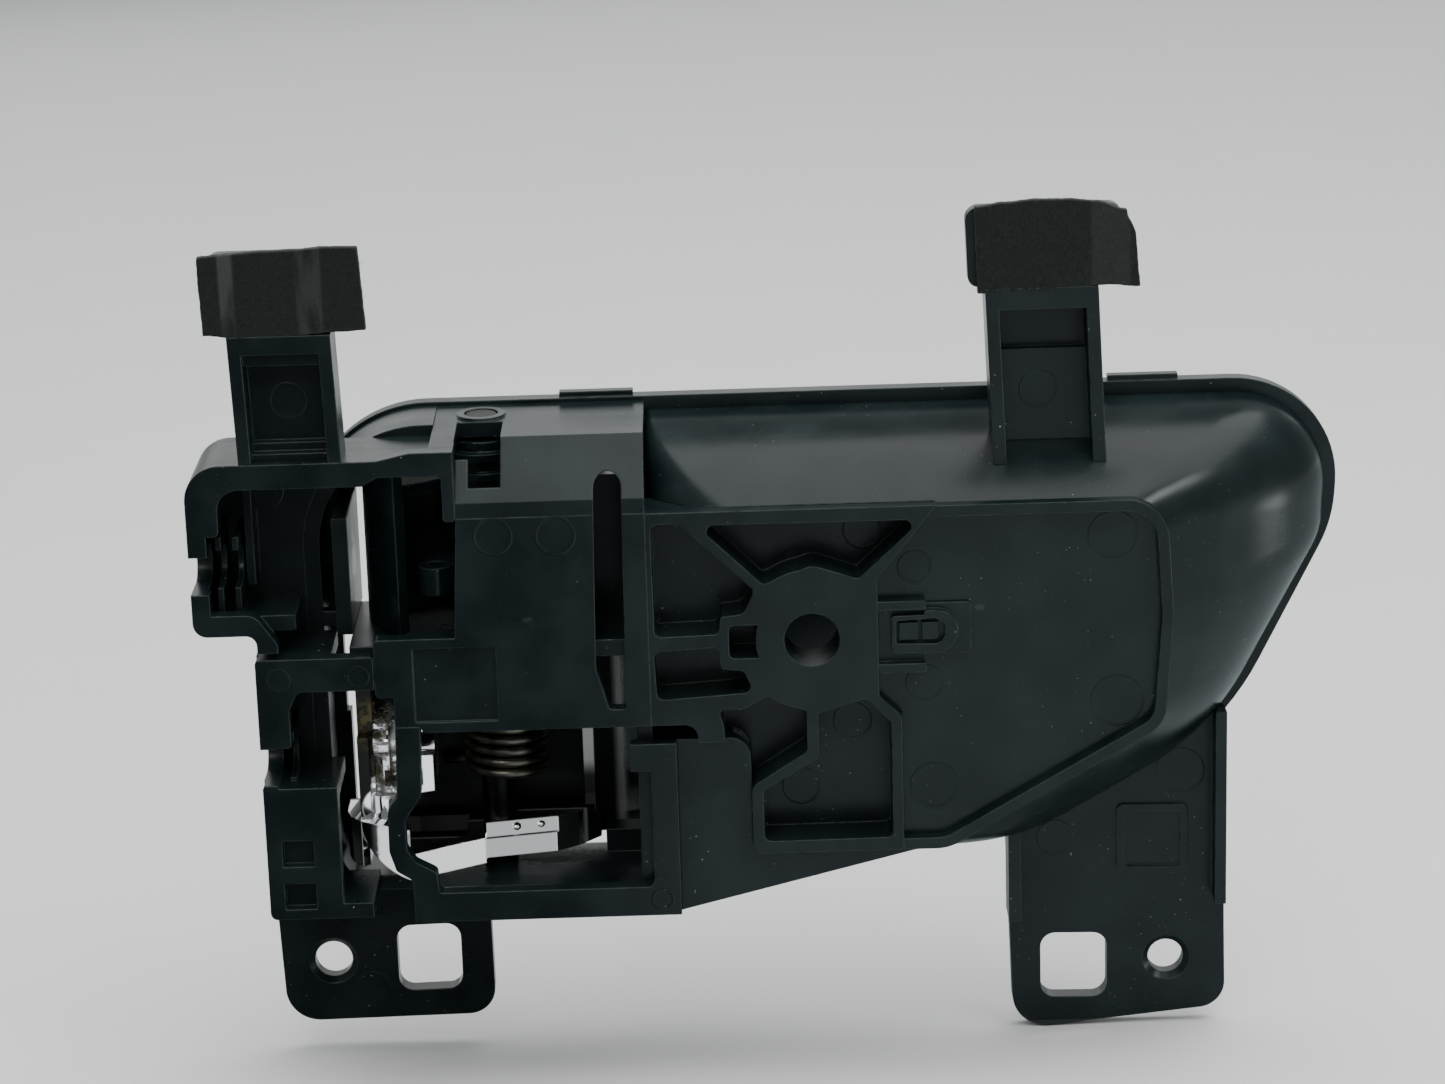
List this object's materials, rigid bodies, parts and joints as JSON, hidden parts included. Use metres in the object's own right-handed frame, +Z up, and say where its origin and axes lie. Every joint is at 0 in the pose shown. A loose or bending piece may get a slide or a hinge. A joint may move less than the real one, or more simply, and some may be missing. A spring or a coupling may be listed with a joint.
{
  "type": "car door handle",
  "caption": "Interior car door handle: finger cup and bezel, chrome pull lever and black lock knob on a shared hinge pin, with cable seats, padded clip stalks and screw tabs.",
  "frame": {"origin": "centre of the main screw hole on the rear plane of the housing", "axes": "+X along the handle towards the closed end of the finger cup, +Y out of the door towards the cabin, +Z up"},
  "size_m": [0.1617, 0.0308, 0.1269],
  "materials": {
    "housing_plastic": "semi-gloss moulded black",
    "knob_plastic": "semi-gloss moulded black",
    "lever_chrome": "bright plated",
    "felt": "fibrous black felt",
    "pin_steel": "ground",
    "spring_steel": "dark oiled wire",
    "rubber_stop": "soft moulded",
    "red_mark": "printed red"
  },
  "bodies": {
    "housing": {"cup_shell": "housing_plastic", "front_bezel": "housing_plastic", "rear_rib_core": "housing_plastic", "rear_rim_rib": "housing_plastic", "retaining_clip": "housing_plastic", "case_back_plate": "housing_plastic", "case_top": "housing_plastic", "case_right_wall": "housing_plastic", "middle_shelf": "housing_plastic", "case_floor": "housing_plastic", "case_left_wall": "housing_plastic", "upper_cable_frame": "housing_plastic", "lower_cable_frame": "housing_plastic", "left_front_skin": "housing_plastic", "lower_window_frame": "housing_plastic", "spring_leg_rib": "housing_plastic", "web_panel": "housing_plastic", "top_stalk_left": "housing_plastic", "top_stalk_right": "housing_plastic", "bottom_tab_left": "housing_plastic", "bottom_tab_right": "housing_plastic", "felt_pad_left": "felt", "felt_pad_right": "felt", "hinge_pin": "pin_steel", "return_spring": "spring_steel", "lock_detent_spring": "spring_steel", "lever_bump_stop": "rubber_stop"},
    "knob": {"lock_knob": "knob_plastic", "lock_cable_arm": "knob_plastic", "lock_indicator": "red_mark"},
    "lever": {"lever_grip": "lever_chrome", "lever_bracket": "lever_chrome", "lever_cable_arm": "lever_chrome"}
  },
  "joints": [
    {"name": "lever_hinge", "type": "hinge", "parent": "housing", "child": "lever", "pos_m": [-0.0455, 0.019, -0.02], "axis": [0, 0, 1], "range_deg": [0, 28], "stiffness_Nm_per_rad": 0.25, "springref_deg": -20.05, "deforming": ["return_spring"]},
    {"name": "lock_hinge", "type": "hinge", "parent": "housing", "child": "knob", "pos_m": [-0.0455, 0.019, 0.0125], "axis": [0, 0, -1], "range_deg": [0, 25]}
  ]
}
